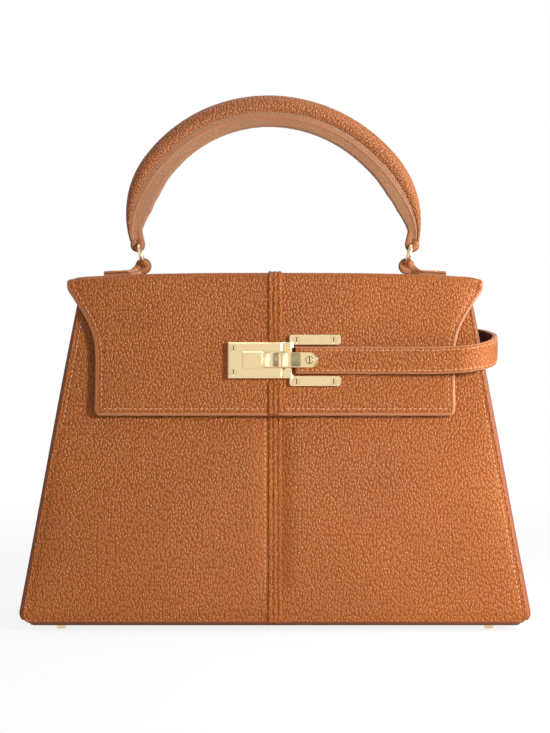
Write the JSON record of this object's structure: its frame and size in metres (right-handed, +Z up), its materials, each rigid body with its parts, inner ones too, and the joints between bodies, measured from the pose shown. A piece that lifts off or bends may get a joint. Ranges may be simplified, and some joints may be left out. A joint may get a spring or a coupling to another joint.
{
  "type": "top handle bag",
  "caption": "Trapezoid leather bag with a folded flap, a rolled arch handle on rings, and a side strap whose metal tongue lies in a push-button lock.",
  "frame": {"origin": "on the ground, under the middle of the bag's base", "axes": "+Z up, +X to the right seen from the front, and the front faces -Y"},
  "size_m": [0.3298, 0.132, 0.347],
  "materials": {
    "grained_leather": "pebbled, satin",
    "smooth_leather": "smooth, satin",
    "dark_leather": "smooth, matte",
    "lining": "smooth, matte",
    "stiffener": "matte",
    "handle_core": "matte",
    "gold_metal": "polished, pale gold",
    "spring_steel": "bare"
  },
  "bodies": {
    "body": {"back_board": "stiffener", "back_centre_welt": "grained_leather", "back_panel_left": "grained_leather", "back_panel_right": "grained_leather", "base_board": "stiffener", "base_feet": "gold_metal", "base_panel": "grained_leather", "flap_fold": "grained_leather", "foot_washers": "gold_metal", "front_board": "stiffener", "front_centre_welt": "grained_leather", "front_panel_left": "grained_leather", "front_panel_right": "grained_leather", "gusset_left": "grained_leather", "gusset_right": "grained_leather", "lining_back": "lining", "lining_base": "lining", "lining_front": "lining", "lining_left": "lining", "lining_right": "lining", "strap_root": "grained_leather", "strap_root_rivets": "gold_metal"},
    "flap": {"flap_left": "grained_leather", "flap_right": "grained_leather", "flap_centre_welt": "grained_leather", "flap_lining": "lining", "handle_tab_left": "grained_leather", "handle_tab_right": "grained_leather", "tab_rivets": "gold_metal", "lock_base": "gold_metal", "lock_plate": "gold_metal", "lock_screws": "gold_metal", "button_spring": "spring_steel", "strap_guide": "gold_metal", "guide_screws": "gold_metal"},
    "handle": {"handle_core": "handle_core", "handle_wrap": "grained_leather", "handle_inner_strip": "smooth_leather", "handle_loop_left": "grained_leather", "handle_loop_right": "grained_leather", "ring_left": "gold_metal", "ring_right": "gold_metal"},
    "strap": {"strap_leather": "grained_leather", "strap_lining": "dark_leather", "tongue": "gold_metal", "tongue_screw": "gold_metal"},
    "lock_button": {"lock_button": "gold_metal"}
  },
  "joints": [
    {"name": "flap_open", "type": "hinge", "parent": "body", "child": "flap", "pos_m": [0, 0.03064, 0.22844], "axis": [-1, 0, 0], "range_deg": [0, 95]},
    {"name": "strap_swing", "type": "hinge", "parent": "body", "child": "strap", "pos_m": [0.14766, 0.03247, 0.173], "axis": [0, 0, 1], "range_deg": [0, 171]},
    {"name": "handle_tilt", "type": "hinge", "parent": "flap", "child": "handle", "pos_m": [0, 0, 0.24243], "axis": [1, 0, 0], "range_deg": [-70, 70]},
    {"name": "button_press", "type": "slide", "parent": "flap", "child": "lock_button", "axis": [0, 0.9889, -0.1483], "range_m": [0, 0.001], "stiffness_N_per_m": 400, "deforming": ["button_spring"]}
  ],
  "couplings": [
    {"joint": "strap_swing", "follows": "flap_open", "ratio": 1.8}
  ]
}
